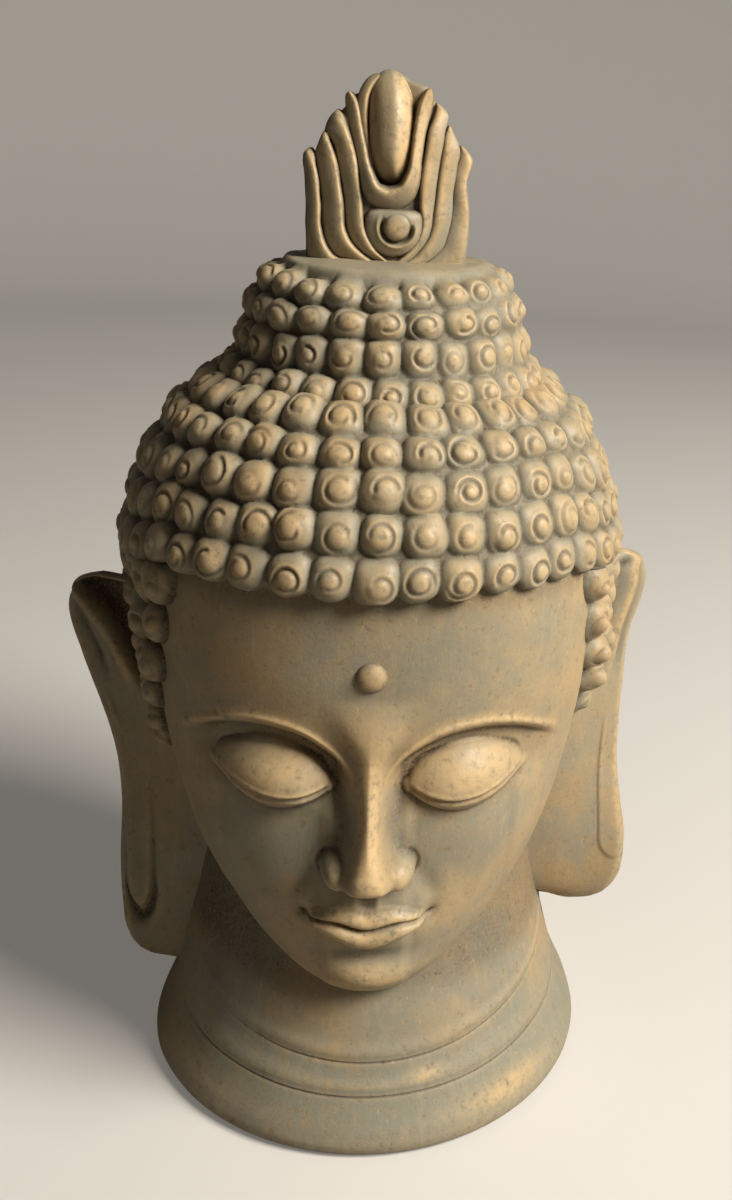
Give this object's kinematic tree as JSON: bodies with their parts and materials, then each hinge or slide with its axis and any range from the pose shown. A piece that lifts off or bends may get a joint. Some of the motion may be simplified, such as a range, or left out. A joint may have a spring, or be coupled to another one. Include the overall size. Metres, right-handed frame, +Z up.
{
  "type": "buddha head",
  "caption": "Cast buddha head on its own flared neck foot, with snail-curl hair, topknot and flame, to stand as an ornament.",
  "frame": {"origin": "middle of the flat underside of the neck foot", "axes": "+Z up along the neck's axis, the face looks along -Y"},
  "size_m": [0.3008, 0.2686, 0.5],
  "materials": {
    "aged_casting": "resin-bound cast stone, dark umber ground dry-brushed in warm cream, with grey-blue verdigris in the hollows"
  },
  "bodies": {
    "root": {"buddha_head": "aged_casting"}
  },
  "joints": []
}
